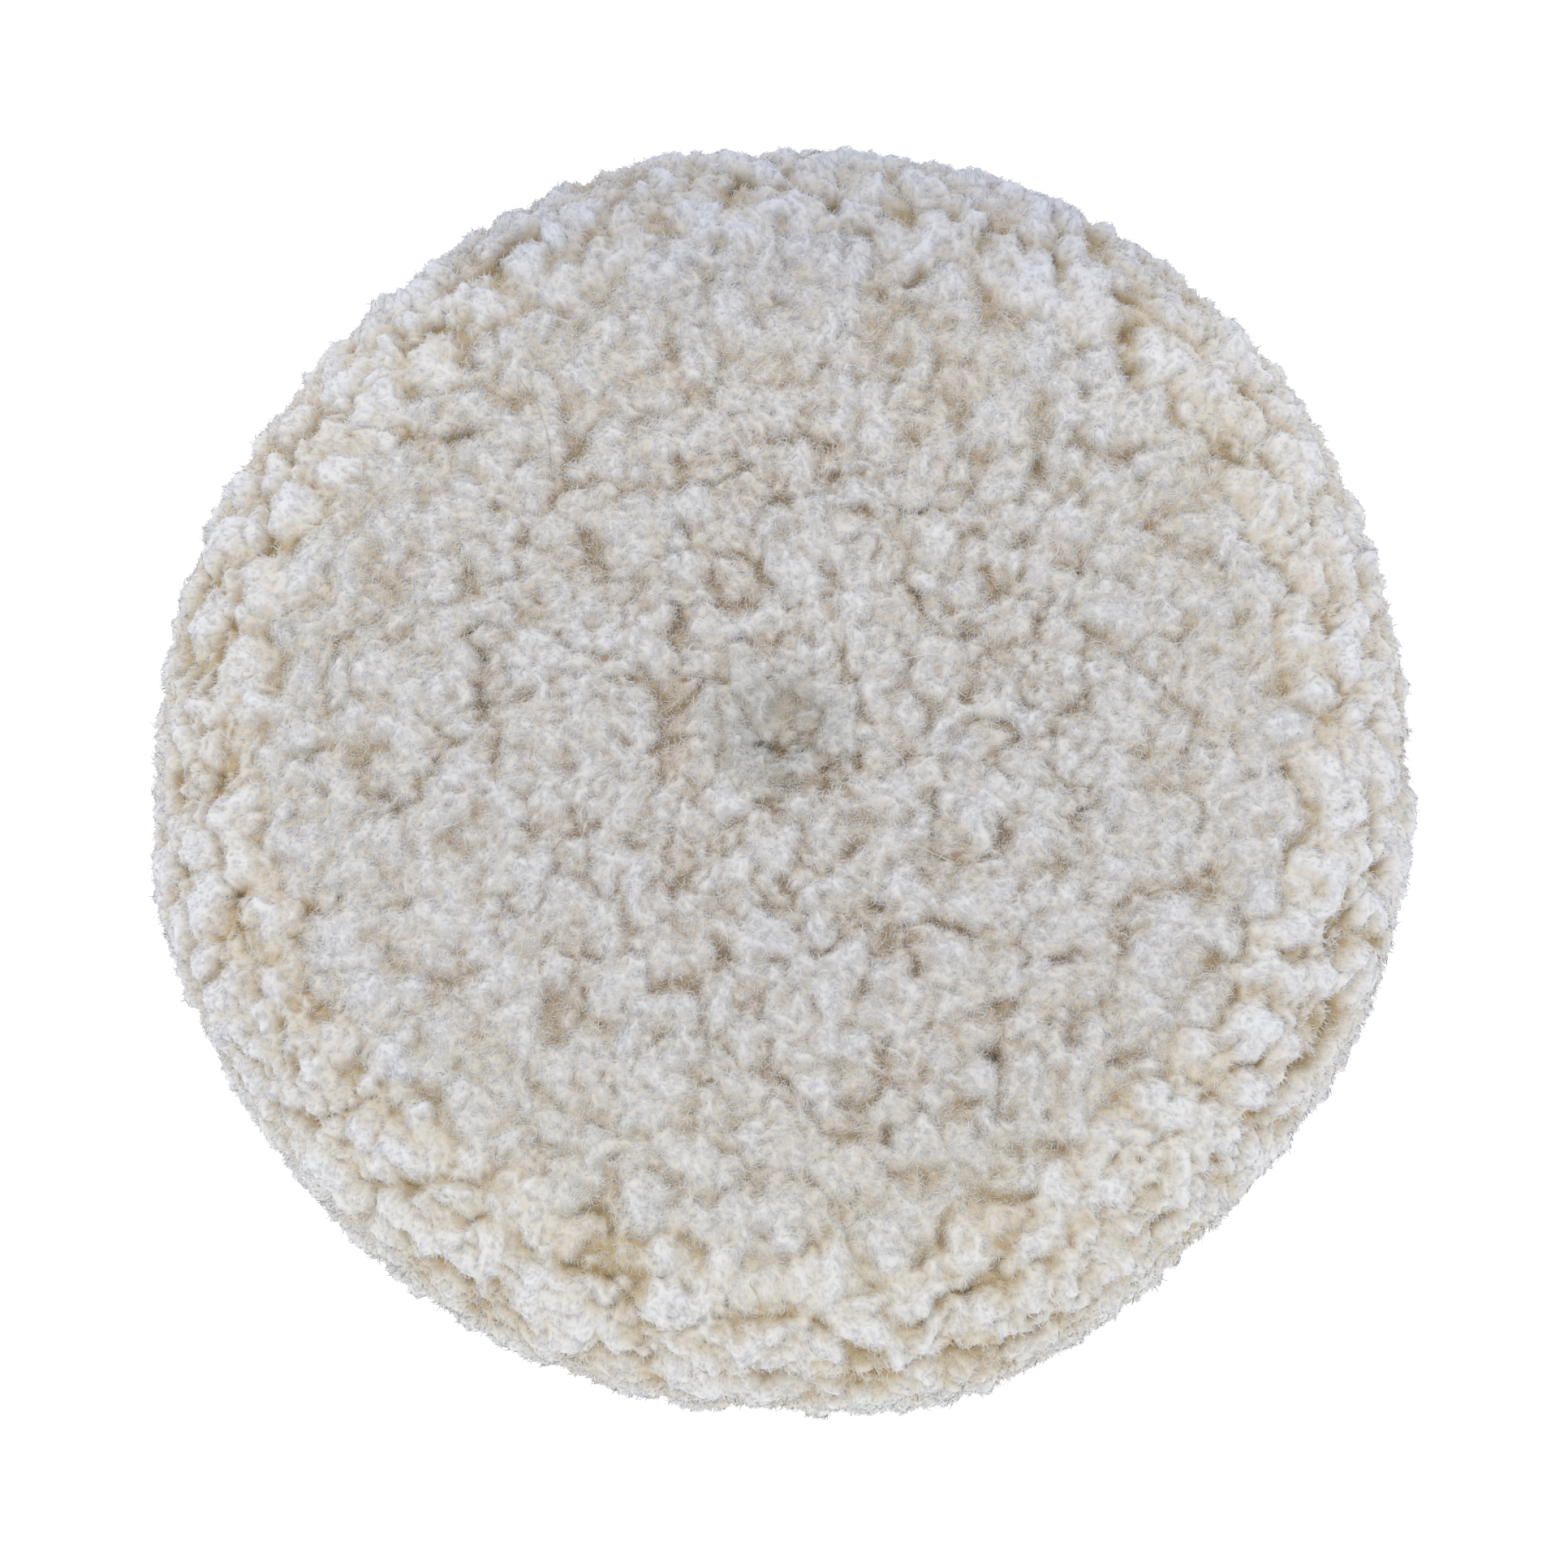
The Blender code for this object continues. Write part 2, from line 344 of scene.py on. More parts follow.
def relief(distance):
    """Depth of the crevices in mm, deeper at the rim."""
    return 2.9 + 1.5 * smooth(distance, 35, 80) - 1.2 * smooth(distance, 84, 96)


def swell(points):
    """The slow waves of the whole pad."""
    return 2.4 * (noise(points, 34, 72) - 0.5)


def border_path(k):
    """The angles and tip distances of the border below row k + 1, which follows the crevices."""
    nominal = BOUNDS[k][1]
    radius = max(follow(np.array([nominal]), TIPS)[0, 0], 6)
    turns = round(2 * math.pi * radius / GRID)
    angles = np.linspace(0, 2 * math.pi, turns, endpoint=False)
    offsets = np.arange(-BORDER_REACH, BORDER_REACH + 0.01, BORDER_STEP) * (0.5 if k == 1 else 1)
    distance = np.tile(nominal + offsets, turns)
    points, _ = around(np.repeat(angles, len(offsets)), follow(distance, TIPS))
    cost = pile_height(points, distance).reshape(turns, len(offsets)) + 0.01 * np.abs(offsets)
    cost = np.concatenate((cost, cost, cost))
    total = cost[0].copy()
    came = np.zeros(cost.shape, dtype=int)
    for n in range(1, len(cost)):
        padded = np.pad(total, 2, constant_values=1e9)
        moves = np.stack([padded[m:m + len(offsets)] + 0.05 * abs(m - 2) for m in range(5)])
        best = moves.argmin(0)
        came[n] = np.arange(len(offsets)) + best - 2
        total = moves.min(0) + cost[n]
    path = [int(total.argmin())]
    for n in range(len(cost) - 1, 0, -1):
        path.append(came[n][path[-1]])
    path = np.array(path[::-1][turns:2 * turns])
    return angles, nominal + offsets[path]


BORDERS = [None] + [border_path(k) for k in range(1, ROWS)] + [None]


def bound_at(k, angles):
    """The tip distance of the border below row k + 1 at those angles."""
    if k in (0, ROWS):
        return np.full(len(angles), float(BOUNDS[k][1]))
    at, distance = BORDERS[k]
    return np.interp(angles, at, distance, period=2 * math.pi)


def dimple(points):
    reach = np.hypot(points[:, 0], points[:, 1])
    return 3.0 * (1 - smooth(reach, 2, 11)) * (points[:, 2] > 20)


def hollows(points):
    """How deep the pits and the crease are at those points, on top of the crevices."""
    moved = points + 3.0 * wandering(points, 4, 90)
    total = np.zeros(len(points))
    for x, y, reach, depth in PITS:
        away = np.hypot(moved[:, 0] - x, moved[:, 1] - y)
        total = np.maximum(total, depth * np.exp(-(away / reach) ** 2))
    (x0, y0), (x1, y1), reach, depth = CREASE
    along = (moved[:, 0] - x0) * (x1 - x0) + (moved[:, 1] - y0) * (y1 - y0)
    share = np.clip(along / ((x1 - x0) ** 2 + (y1 - y0) ** 2), 0, 1)
    away = np.hypot(moved[:, 0] - x0 - share * (x1 - x0), moved[:, 1] - y0 - share * (y1 - y0))
    total = np.maximum(total, depth * np.exp(-(away / reach) ** 2))
    return total * (points[:, 2] > 12)


def outline_wave(angles):
    """How far the rim stands out at those angles, in mm."""
    total = OVAL * np.sin(angles) ** 2
    for place, wide, out in OUTLINE:
        away = (np.degrees(angles) - place + 180) % 360 - 180
        total += out * np.exp(-(away / wide) ** 2)
    return total


def pile_surface(angles, distance, drop):
    """Places and depths of the pile's surface, let down by drop along the borders of the rows."""
    points, normals = around(angles, follow(distance, TIPS))
    hollow = hollows(points)
    height = pile_height(points, distance) - drop
    stand = relief(distance) * (height - 0.85)
    stand += 0.35 * (noise(points, 0.9, 70) - 0.5)
    places = points + normals * (stand + swell(points) - dimple(points) - hollow)[:, None]
    places[:, 2] = np.maximum(places[:, 2], 0.8)
    reach = smooth(np.hypot(points[:, 0], points[:, 1]), 40, 88) * outline_wave(angles)
    places[:, 0] += reach * np.cos(angles)
    places[:, 1] += reach * np.sin(angles)
    # The depth is greatest in the crevices, pits and crease, and the wool's colour darkens with it: painted
    # crevice shade and bounce light, partly dirt
    return places, np.clip(1 - height + 0.14 * hollow, 0, 1.3)


def row_grid(k):
    """One row's surface: (points, depths, angles) as arrays over angle and distance."""
    (_, start), (_, end) = BOUNDS[k], BOUNDS[k + 1]
    middle = follow(np.array([(start + end) / 2]), TIPS)[0, 0]
    turns = max(60, round(2 * math.pi * max(middle, 8) / GRID))
    steps = max(6, round((end - start) / GRID))
    angles = np.linspace(0, 2 * math.pi, turns, endpoint=False)
    low, high = bound_at(k, angles), bound_at(k + 1, angles)
    low = low - ROW_LAP if k else low + 0.05
    high = high + ROW_LAP
    distance = low[:, None] + (high - low)[:, None] * np.linspace(0, 1, steps + 1)
    flat_distance = distance.ravel()
    flat_angles = np.repeat(angles, steps + 1)
    drop = np.zeros(len(flat_distance))
    for n, sign in ((k, 1), (k + 1, -1)):
        if n in (0, ROWS):
            continue
        edge = sign * (distance - bound_at(n, angles)[:, None]).ravel()
        strength = RIM_BORDER if n >= FACE_ROWS else FACE_BORDER
        points, _ = around(flat_angles, follow(flat_distance, TIPS))
        patch = noise(points + 77 * n, 14, 80)
        drop += strength * (0.2 + 0.8 * smooth(patch, 0.35, 0.65)) * np.exp(-edge ** 2)
    places, depth = pile_surface(flat_angles, flat_distance, drop)
    return places.reshape(turns, steps + 1, 3), depth.reshape(turns, steps + 1), angles


def inner_side(grid, depth, angles):
    """The last row with its side towards the canvas as more of its surface."""
    root, out = around(angles, follow(np.full(len(angles), BOUNDS[ROWS][0]), ROOTS))
    root = root + out * ROOT_GAP
    shares = np.linspace(0, 1, INNER_STEPS + 1)[1:-1]
    side = grid[:, -1:] + (root[:, None] - grid[:, -1:]) * shares[None, :, None]
    flat = side.reshape(-1, 3)
    hollow = 1 - lumps(flat, 2.6, 95)
    outward = unit(flat * np.array((1, 1, 0)))
    arch = np.tile(np.sin(math.pi * shares), len(angles))
    side = (flat + outward * ((0.4 + 1.8 * hollow) * arch)[:, None]).reshape(side.shape)
    # The side is painted darker in its hollows: painted shade
    shade = (0.35 + 0.5 * hollow).reshape(len(angles), -1)
    return np.concatenate((grid, side), 1), np.concatenate((depth, shade), 1)


def grid_normals(grid):
    along_turn = np.roll(grid, -1, 0) - np.roll(grid, 1, 0)
    along_row = np.gradient(grid, axis=1)
    normals = np.cross(along_row, along_turn)
    lengths = np.linalg.norm(normals, axis=2, keepdims=True)
    return normals / np.maximum(lengths, 1e-9)


def smooth_normals(points, faces):
    a, b, c = points[faces[:, 0]], points[faces[:, 1]], points[faces[:, 2]]
    face_normals = np.cross(b - a, c - a)
    total = np.zeros_like(points)
    for corner in range(3):
        for axis in range(3):
            total[:, axis] += np.bincount(faces[:, corner], face_normals[:, axis], len(points))
    return unit(total)


def row_body(k, grid, depth, angles):
    """The row's closed mesh: its surface, its two sides and its root."""
    turns, across = depth.shape
    side_steps = 3
    loops = [grid]
    depths = [depth]
    ends = []
    for n, edge in ((k + 1, grid[:, -1]), (k, grid[:, 0])):
        root, out = around(angles, follow(np.full(turns, BOUNDS[n][0] + (0 if n else 0.05)), ROOTS))
        tuck = edge
        if n not in (0, ROWS):
            _, normal = around(angles, follow(bound_at(n, angles), TIPS))
            tuck = edge - normal * LIP_DEPTH
        ends.append((edge, tuck, root + out * ROOT_GAP))
    for order, (edge, tuck, root) in enumerate(ends):
        shares = np.arange(side_steps) / (side_steps - 1)
        wall = tuck[:, None] + (root - tuck)[:, None] * shares[None, :, None]
        if order == 1:
            wall = wall[:, ::-1]
        loops.append(wall)
        # The sides between rows get a fixed depth of 0.7: painted shade in the gaps between rows
        depths.append(np.full(wall.shape[:2], 0.7))
    section = np.concatenate(loops, 1)
    # The mass under the fibres is painted darker than the fibres: painted shade
    shade = np.concatenate(depths, 1) + BODY_PAINTED_SHADE
    lit = lattice_normals(section)
    lit[:, :grid.shape[1]] = grid_normals(grid)
    return lattice_body(section, shade, lit)


def lattice_faces(turns, count):
    """Triangles and their UVs for a lattice that closes on itself both ways."""
    index = np.arange(turns * count).reshape(turns, count)
    right, up = np.roll(index, -1, 0), np.roll(index, -1, 1)
    corner = np.roll(right, -1, 1)
    faces = np.concatenate((
        np.stack((index, up, corner), 2).reshape(-1, 3),
        np.stack((index, corner, right), 2).reshape(-1, 3),
    ))
    across, along = np.divmod(index, count)
    uvs = []
    for steps in (((0, 0), (0, 1), (1, 1)), ((0, 0), (1, 1), (1, 0))):
        corners = [np.stack(((across + i) / turns, (along + j) / count), 2) for i, j in steps]
        uvs.append(np.stack([corner.reshape(-1, 2) for corner in corners], 1))
    return faces, np.concatenate(uvs)


def lattice_normals(section):
    faces, _ = lattice_faces(*section.shape[:2])
    return smooth_normals(section.reshape(-1, 3), faces).reshape(section.shape)


def lattice_body(section, shade, lit):
    """A closed body as one part of a piece: (points, triangles, depths, normals, UVs)."""
    faces, uvs = lattice_faces(*section.shape[:2])
    return section.reshape(-1, 3), faces, shade.ravel(), lit.reshape(-1, 3), uvs


# ---------------------------------------------------------------- fibres

def tubes(lines, radii):
    """Closed tubes with pointed tips, along lines (count, points, 3), of radii (count, points)."""
    count, length = lines.shape[:2]
    ahead = np.gradient(lines, axis=1)
    ahead /= np.maximum(np.linalg.norm(ahead, axis=2, keepdims=True), 1e-9)
    helper = np.where(np.abs(ahead[:, :1, 2:3]) > 0.8, np.array([1.0, 0, 0]), np.array([0, 0, 1.0]))
    side = np.cross(ahead, np.broadcast_to(helper, ahead.shape))
    side /= np.maximum(np.linalg.norm(side, axis=2, keepdims=True), 1e-9)
    other = np.cross(ahead, side)
    rings, outs = [], []
    for n in range(FIBRE_SIDES):
        turn = 2 * math.pi * n / FIBRE_SIDES
        out = side * math.cos(turn) + other * math.sin(turn)
        rings.append(lines[:, :-1] + out[:, :-1] * radii[:, :-1, None])
        outs.append(out[:, :-1])
    per = (length - 1) * FIBRE_SIDES + 1
    points = np.concatenate((np.stack(rings, 2).reshape(count, -1, 3), lines[:, -1:]), 1)
    outward = np.concatenate((np.stack(outs, 2).reshape(count, -1, 3), ahead[:, -1:]), 1)
    pattern = [(0, 2, 1)]
    for ring in range(length - 2):
        for n in range(FIBRE_SIDES):
            a, b = ring * 3 + n, ring * 3 + (n + 1) % 3
            pattern += [(a, b, b + 3), (a, b + 3, a + 3)]
    for n in range(FIBRE_SIDES):
        a, b = (length - 2) * 3 + n, (length - 2) * 3 + (n + 1) % 3
        pattern.append((a, b, per - 1))
    faces = np.array(pattern)[None] + (np.arange(count) * per)[:, None, None]
    uvs = tube_uvs(count, np.array(pattern), length)
    return points.reshape(-1, 3), faces.reshape(-1, 3), outward, uvs


def tube_uvs(count, pattern, length):
    """A small cell of the unit square for each tube."""
    rings = itertools.product(range(length - 1), range(FIBRE_SIDES))
    local = [(n / FIBRE_SIDES, ring / (length - 1)) for ring, n in rings]
    local = np.array(local + [(0.5, 1)])[pattern] * 0.8 + 0.1
    side = math.ceil(math.sqrt(count))
    cell = np.stack(np.divmod(np.arange(count), side), 1)
    return ((cell[:, None, None] + local[None]) / side).reshape(-1, 3, 2)


def seed_places(grid, depth, count, rng):
    """Random places on a row's surface, evenly by area: points, normals and depths."""
    normals = grid_normals(grid)
    a, b, c = grid[:, :-1], np.roll(grid, -1, 0)[:, :-1], grid[:, 1:]
    area = np.linalg.norm(np.cross(b - a, c - a), axis=2)
    share = np.cumsum(area.ravel())
    picked = np.searchsorted(share, rng.random(count) * share[-1])
    row, column = np.divmod(picked, area.shape[1])
    after = (row + 1) % grid.shape[0]
    u, v = rng.random((2, count, 1))

    def at(field):
        near = field[row, column] * (1 - v) + field[row, column + 1] * v
        far = field[after, column] * (1 - v) + field[after, column + 1] * v
        return near * (1 - u) + far * u

    return at(grid), at(normals), at(depth[..., None])[:, 0]


def surface_area(grid):
    a, b, c = grid[:, :-1], np.roll(grid, -1, 0)[:, :-1], grid[:, 1:]
    return float(np.linalg.norm(np.cross(b - a, c - a), axis=2).sum())


def unit(vectors):
    return vectors / np.maximum(np.linalg.norm(vectors, axis=-1, keepdims=True), 1e-9)


def fibres(grid, depth, count, rng, rim):
    """Crimped wool fibres that arch over a row's surface."""
    places, normals, depths = seed_places(grid, depth, count, rng)
    across = rng.normal(size=(count, 3))
    if rim:
        # On the rim the yarns lie side on, so many fibres run from the face towards the hem
        radial = unit(places * np.array([1, 1, 0]))
        across = across + RIM_COMB * (radial - np.array([0, 0, 0.6]))
    across = unit(across - normals * (across * normals).sum(1, keepdims=True))
    aside = np.cross(normals, across)
    lengths = rng.uniform(*FIBRE_LENGTHS, count)
    rise = rng.uniform(*FIBRE_RISES, count) * (1 - 0.4 * rim)
    tail = rng.uniform(*FIBRE_TAILS, count) * (1 - 0.6 * rim)
    turn = rng.uniform(-FIBRE_TURN, FIBRE_TURN, count)
    shares = np.array(FIBRE_SHARES)
    lines = np.zeros((count, len(shares), 3))
    for n, share in enumerate(shares):
        up = rise * math.sin(math.pi * min(share * 1.3, 1)) + tail * share - 0.15 * (1 - share)
        side = lengths * turn * share ** 2
        lines[:, n] = places + across * (lengths * share)[:, None]
        lines[:, n] += normals * up[:, None] + aside * side[:, None]
    lines[..., 2] = np.maximum(lines[..., 2], 0.3)
    thickness = rng.uniform(*FIBRE_THICKNESSES, count)
    taper = np.where(shares < 1, 1 - 0.3 * shares, 0)
    points, faces, outward, uvs = tubes(lines, thickness[:, None] * taper)
    along = np.concatenate((np.repeat(shares[:-1], FIBRE_SIDES), shares[-1:]))
    # Each fibre takes the painted crevice shade of its root, lighter towards its tip, plus a random tone of
    # its own
    shade = depths[:, None] * (1 - 0.4 * along[None]) + rng.normal(-0.08, 0.16, count)[:, None]
    lit = unit((1 - FIBRE_SOFTNESS) * outward + FIBRE_SOFTNESS * normals[:, None])
    return points, faces, shade.ravel(), lit.reshape(-1, 3), uvs


def make_piece(name, parts, finish):
    """One object on the pad's body, from parts: (points in mm, triangles, depths, normals, UVs)."""
    starts = np.cumsum([0] + [len(p[0]) for p in parts])
    points = np.concatenate([p[0] for p in parts]) * MM
    faces = np.concatenate([p[1] + start for p, start in zip(parts, starts)])
    mesh = bpy.data.meshes.new(name)
    mesh.vertices.add(len(points))
    mesh.vertices.foreach_set("co", points.astype(np.float32).ravel())
    mesh.loops.add(faces.size)
    mesh.loops.foreach_set("vertex_index", faces.astype(np.int32).ravel())
    mesh.polygons.add(len(faces))
    mesh.polygons.foreach_set("loop_start", np.arange(0, faces.size, 3, dtype=np.int32))
    mesh.polygons.foreach_set("use_smooth", np.ones(len(faces), dtype=bool))
    mesh.update(calc_edges=True)
    shade = np.concatenate([p[2] for p in parts])
    depth = mesh.attributes.new("depth", "FLOAT", "POINT")
    depth.data.foreach_set("value", shade.astype(np.float32))
    normals = np.concatenate([p[3] for p in parts])
    lit = mesh.attributes.new("custom_normal", "FLOAT_VECTOR", "POINT")
    lit.data.foreach_set("vector", normals.astype(np.float32).ravel())
    # Each part has its own band of the UV square
    bands = np.linspace(0, 1, len(parts) + 1)
    uvs = [p[4] * (1, 0.98 * (high - low)) + (0, low) for p, low, high in zip(parts, bands, bands[1:])]
    layer = mesh.uv_layers.new(name="OFBake")
    layer.uv.foreach_set("vector", np.concatenate(uvs).astype(np.float32).ravel())
    mesh.materials.append(finish)
    piece = bpy.data.objects.new(name, mesh)
    bpy.context.scene.collection.objects.link(piece)
    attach(piece, "root")
    return piece


def make_row(k, finish):
    grid, depth, angles = row_grid(k)
    if k == ROWS - 1:
        grid, depth = inner_side(grid, depth, angles)
    rng = np.random.default_rng(100 + k)
    rim = float(k >= FACE_ROWS)
    body = row_body(k, grid, depth, angles)
    wanted = round(surface_area(grid) * FIBRES_PER_MM2 * (1 - RIM_THINNING * rim))
    per_fibre = 2 * FIBRE_SIDES * (len(FIBRE_SHARES) - 1) - FIBRE_SIDES + 1
    room = (MAX_TRIANGLES - len(body[1])) // per_fibre
    first = min(wanted, room)
    piece = make_piece(f"wool_row_{k + 1:02d}", [body, fibres(grid, depth, first, rng, rim)], finish)
    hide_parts(f"pile_row_{k + 1:02d}")
    left, batch = wanted - first, 1
    while left > 0:
        count = min(left, MAX_TRIANGLES // per_fibre)
        make_piece(f"wool_fuzz_{k + 1:02d}_{batch}", [fibres(grid, depth, count, rng, rim)], finish)
        left -= count
        batch += 1


def stray_hairs(finish):
    """A few long hairs that lie loose over the pile."""
    rng = np.random.default_rng(7)
    parts = []
    for x, y, heading, long, dark in STRAY_HAIRS:
        count = 12
        bend = rng.uniform(-0.25, 0.25) + rng.normal(0, 0.12, count).cumsum()
        headings = math.radians(heading) + bend.cumsum() * 0.5
        step = long / count
        route = np.array((x, y)) + np.stack((np.cos(headings), np.sin(headings)), 1).cumsum(0) * step
        angles = np.arctan2(route[:, 1], route[:, 0])
        places, _ = pile_surface(angles, np.hypot(route[:, 0], route[:, 1]), 0)
        level = np.convolve(np.pad(places[:, 2], 2, mode="edge"), np.ones(5) / 5, "valid")
        places[:, 2] = level + HAIR_LIFT
        points, faces, outward, uvs = tubes(places[None], np.full((1, count), HAIR_RADIUS))
        parts.append((points, faces, np.full(len(points), float(dark)), outward.reshape(-1, 3), uvs))
    return make_piece("stray_hairs", parts, finish)


# ---------------------------------------------------------------- the back

def turned(profile, turns):
    """A closed (radius, height) outline turned about the axis: an array over angle and profile point."""
    angles = np.linspace(0, 2 * math.pi, turns, endpoint=False)
    profile = np.asarray(profile)
    following = np.roll(profile, -1, 0)
    # The outline runs clockwise, so that the body faces out
    if (profile[:, 0] * following[:, 1] - following[:, 0] * profile[:, 1]).sum() > 0:
        profile = profile[::-1]
    radius, height = profile[:, 0], profile[:, 1]
    return np.stack((
        np.cos(angles)[:, None] * radius,
        np.sin(angles)[:, None] * radius,
        np.broadcast_to(height, (turns, len(height))),
    ), 2)


def dense(corners, spacing):
    """Points along a closed outline, with the spacing given for the edge after each corner."""
    out = []
    for n, (start, step) in enumerate(zip(corners, spacing)):
        end = corners[(n + 1) % len(corners)]
        count = max(1, round(math.dist(start, end) / step))
        for k in range(count):
            out.append(tuple(np.array(start) + (np.array(end) - np.array(start)) * k / count))
    return out


def bend(centre, radius, start, end, steps):
    """Points of an arc in the (radius, height) plane, between two angles in degrees."""
    angles = np.radians(np.linspace(start, end, steps + 1))
    return [(centre[0] + radius * math.cos(a), centre[1] + radius * math.sin(a)) for a in angles]


def shell(name, node_name, section, finish, depth=None):
    shade = np.zeros(section.shape[:2]) if depth is None else depth
    piece = make_piece(name, [lattice_body(section, shade, lattice_normals(section))], finish)
    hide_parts(node_name)
    return piece


def span(node_name):
    """A node's (largest radius, lowest height, highest height) in mm."""
    low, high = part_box(node_name)
    return high[0] / MM, low[2] / MM, high[2] / MM


LOOP_RADIUS, LOOP_BOTTOM, LOOP_TOP = span("loop_disc")
HEM_SEAM = span("hem_stitching")[0] - STITCH_WIDTH / 2
HOLE_SEAM = span("hole_stitching")[0] - STITCH_WIDTH / 2


def pressed(radius):
    """How far the loops are pressed flat by a seam, from 0 to 1."""
    away = np.minimum(np.abs(radius - HEM_SEAM), np.abs(radius - HOLE_SEAM))
    return 1 - smooth(away, 0.5, 1.5)


def make_loop_fabric(finish):
    """The ground cloth of the loop face, with a channel along each seam, and its nap of loops."""
    inner, outer = HOLE_RADIUS + LOOP_EDGE_GAP, LOOP_RADIUS - LOOP_EDGE_GAP
    corners = [(inner, LOOP_TOP - 0.1), (inner, KNIT_HEIGHT), (outer, KNIT_HEIGHT)]
    corners += [(outer, LOOP_TOP - 0.1), (outer - 0.1, LOOP_TOP), (inner + 0.1, LOOP_TOP)]
    profile = dense(corners, (0.4, 0.55, 0.4, 0.4, 6, 0.4))
    section = turned(profile, 560)
    flat = section.reshape(-1, 3)
    reach = np.hypot(flat[:, 0], flat[:, 1])
    under = flat[:, 2] < KNIT_HEIGHT + 0.1
    flat[:, 2] += under * (CHANNEL_DEPTH * pressed(reach) + 0.16 * (noise(flat, 1.1, 5) - 0.5))
    cloth = shell("loop_fabric", "loop_disc", section, finish)
    area = math.pi * (outer ** 2 - inner ** 2)
    rng = np.random.default_rng(11)
    count = round(area * LOOPS_PER_MM2 / LOOP_BATCHES)
    for batch in range(LOOP_BATCHES):
        part = nap(inner + 0.3, outer - 0.3, count, rng)
        make_piece(f"loop_nap_{batch + 1}", [part], finish)
    flat = (2 * outer * MM, 2 * outer * MM)
    area = area * MM * MM


def nap(inner, outer, count, rng):
    """Small flattened loops that hang from the ground cloth, at random between two radii."""
    radius = np.sqrt(rng.uniform(inner ** 2, outer ** 2, count))
    turn = rng.uniform(0, 2 * math.pi, count)
    heading = rng.uniform(0, 2 * math.pi, count)
    width = rng.uniform(*LOOP_WIDTHS, count)
    drop = rng.uniform(*LOOP_DROPS, count) * (1 - 0.75 * pressed(radius))
    start = np.stack((radius * np.cos(turn), radius * np.sin(turn)), 1)
    shares = (0, 0.3, 0.7, 1)
    lines = np.zeros((count, len(shares), 3))
    for n, share in enumerate(shares):
        aim = heading + 0.5 * share
        step = np.stack((np.cos(aim), np.sin(aim)), 1) * (width * share)[:, None]
        lines[:, n, :2] = start + step
        hang = drop * (0 if share in (0, 1) else 1)
        lines[:, n, 2] = KNIT_HEIGHT + 0.12 - hang + CHANNEL_DEPTH * pressed(radius)
    lines[..., 2] = np.maximum(lines[..., 2], LOOP_BOTTOM + 0.08)
    thickness = rng.uniform(*LOOP_THICKNESSES, count)
    points, faces, outward, uvs = tubes(lines, thickness[:, None] * np.array((1, 1, 1, 0)))
    lit = unit(0.6 * outward + np.array((0, 0, -0.4))).reshape(-1, 3)
    shade = np.repeat(rng.uniform(0, 1, count), len(points) // count)
    return points, faces, shade, lit, uvs


def make_thread(name, radius, finish):
    """A three-ply thread in lockstitch: straight runs on the loops, with a dip at each needle hole."""
    stitches = round(2 * math.pi * radius / STITCH_PITCH)
    turns = stitches * STITCH_POINTS
    angles = np.linspace(0, 2 * math.pi, turns, endpoint=False)
    within = (np.arange(turns) / STITCH_POINTS) % 1 - 0.5
    height = 0.62 + 0.75 * np.exp(-((np.abs(within) - 0.5) * STITCH_PITCH / 0.5) ** 2)
    centre = np.stack((radius * np.cos(angles), radius * np.sin(angles), height), 1)
    out = np.stack((np.cos(angles), np.sin(angles), np.zeros(turns)), 1)
    up = np.array((0, 0, 1.0))
    twists = round(2 * math.pi * radius / PLY_TWIST)
    parts = []
    for ply in range(PLIES):
        lay = twists * angles + 2 * math.pi * ply / PLIES
        middle = centre + PLY_OFFSET * (np.cos(lay)[:, None] * out + np.sin(lay)[:, None] * up)
        rings = []
        for n in range(PLY_SIDES):
            turn = -2 * math.pi * n / PLY_SIDES
            rings.append(middle + PLY_RADIUS * (math.cos(turn) * out + math.sin(turn) * up))
        section = np.stack(rings, 1)
        parts.append(lattice_body(section, np.zeros(section.shape[:2]), lattice_normals(section)))
    piece = make_piece(name + "_thread", parts, finish)
    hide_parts(name)


def make_canvas(finish):
    """The formed canvas: face, shoulder, side and a hem gathered where it turns under the core."""
    shoulder = (FLAT, CANVAS_TOP - CANVAS_SHOULDER)
    hem = (CANVAS_RADIUS - HEM_BEND, HEM_HEIGHT)
    outer = [(r, CANVAS_TOP) for r in np.linspace(0.05, FLAT, 12)[:-1]]
    outer += bend(shoulder, CANVAS_SHOULDER, 90, 0, 8)
    outer += bend(hem, HEM_BEND, 0, -90, 8)
    outer += [(r, HEM_BOTTOM) for r in np.linspace(hem[0], HEM_INNER, 16)[1:]]
    inner = [(HEM_INNER, HEM_BOTTOM + CANVAS_THICKNESS)]
    inner += bend(hem, HEM_BEND - CANVAS_THICKNESS, -90, 0, 6)
    inner += bend(shoulder, CANVAS_SHOULDER - CANVAS_THICKNESS, 0, 90, 6)
    inner += [(r, CANVAS_TOP - CANVAS_THICKNESS) for r in np.linspace(FLAT, 0.05, 12)[1:]]
    section = turned(outer + inner, 900)
    reach = np.hypot(section[..., 0], section[..., 1])
    angle = np.arctan2(section[..., 1], section[..., 0])
    low = 1 - smooth(section[..., 2], HEM_HEIGHT, HEM_HEIGHT + 3)
    gathers = np.sin(GATHERS * angle + 4 * noise(section.reshape(-1, 3), 9, 3).reshape(reach.shape))
    section[..., 2] += low * GATHER_DEPTH * gathers * smooth(reach, LOOP_RADIUS - 1, LOOP_RADIUS + 1)
    piece = shell("canvas_cup", "backing_canvas", section, finish)


# The round blank that the canvas is formed from: its outline laid out flat
CUT_RADIUS = FLAT + CANVAS_SHOULDER * UP + CANVAS_SIDE + HEM_BEND * UP
CUT_RADIUS += CANVAS_RADIUS - HEM_BEND - HEM_INNER


